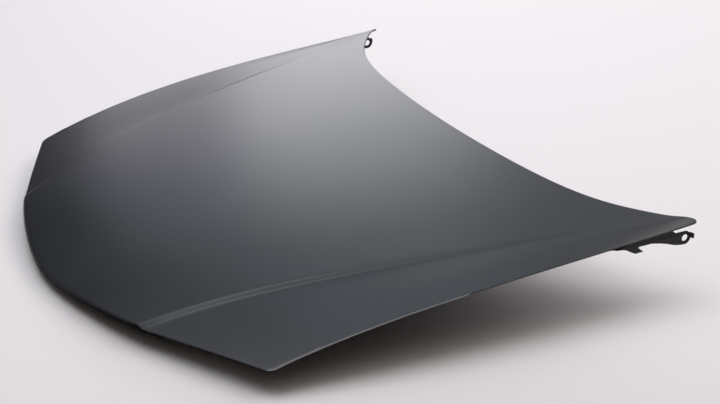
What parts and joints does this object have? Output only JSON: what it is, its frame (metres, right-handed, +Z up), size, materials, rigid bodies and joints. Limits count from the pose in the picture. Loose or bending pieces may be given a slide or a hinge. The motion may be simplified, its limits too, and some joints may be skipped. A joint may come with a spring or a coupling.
{
  "type": "car bonnet",
  "caption": "Pressed steel car bonnet: raised centre between two swage lines, skin hemmed round an inner frame, striker loop under the nose and hinge arms under the rear corners.",
  "frame": {"origin": "under the middle of the whole bonnet, at the height of its lowest point, the underside of the striker loop", "axes": "+X towards the car's left side, +Y towards the windscreen, +Z up, with the rear raised as in the picture"},
  "size_m": [1.501, 1.2744, 0.2028],
  "materials": {
    "primed_steel": "satin black electro-dipped primer",
    "zinc_steel": "bright zinc",
    "mastic": "matt black expanding mastic"
  },
  "bodies": {
    "root": {"hinge_arm_left": "primed_steel", "hinge_arm_right": "primed_steel", "hinge_bolt_left_front": "zinc_steel", "hinge_bolt_left_rear": "zinc_steel", "hinge_bolt_right_front": "zinc_steel", "hinge_bolt_right_rear": "zinc_steel", "hinge_reinforcement_left": "primed_steel", "hinge_reinforcement_right": "primed_steel", "hinge_weld_nut_left_front": "zinc_steel", "hinge_weld_nut_left_rear": "zinc_steel", "hinge_weld_nut_right_front": "zinc_steel", "hinge_weld_nut_right_rear": "zinc_steel", "inner_panel": "primed_steel", "mastic_bead_left_1_1": "mastic", "mastic_bead_left_1_2": "mastic", "mastic_bead_left_2_1": "mastic", "mastic_bead_left_2_2": "mastic", "mastic_bead_left_3_1": "mastic", "mastic_bead_left_3_2": "mastic", "mastic_bead_right_1_1": "mastic", "mastic_bead_right_1_2": "mastic", "mastic_bead_right_2_1": "mastic", "mastic_bead_right_2_2": "mastic", "mastic_bead_right_3_1": "mastic", "mastic_bead_right_3_2": "mastic", "outer_panel": "primed_steel", "striker_bolt_left": "zinc_steel", "striker_bolt_right": "zinc_steel", "striker_loop": "zinc_steel", "striker_plate": "zinc_steel", "striker_reinforcement": "primed_steel", "striker_weld_nut_left": "zinc_steel", "striker_weld_nut_right": "zinc_steel"}
  },
  "joints": []
}
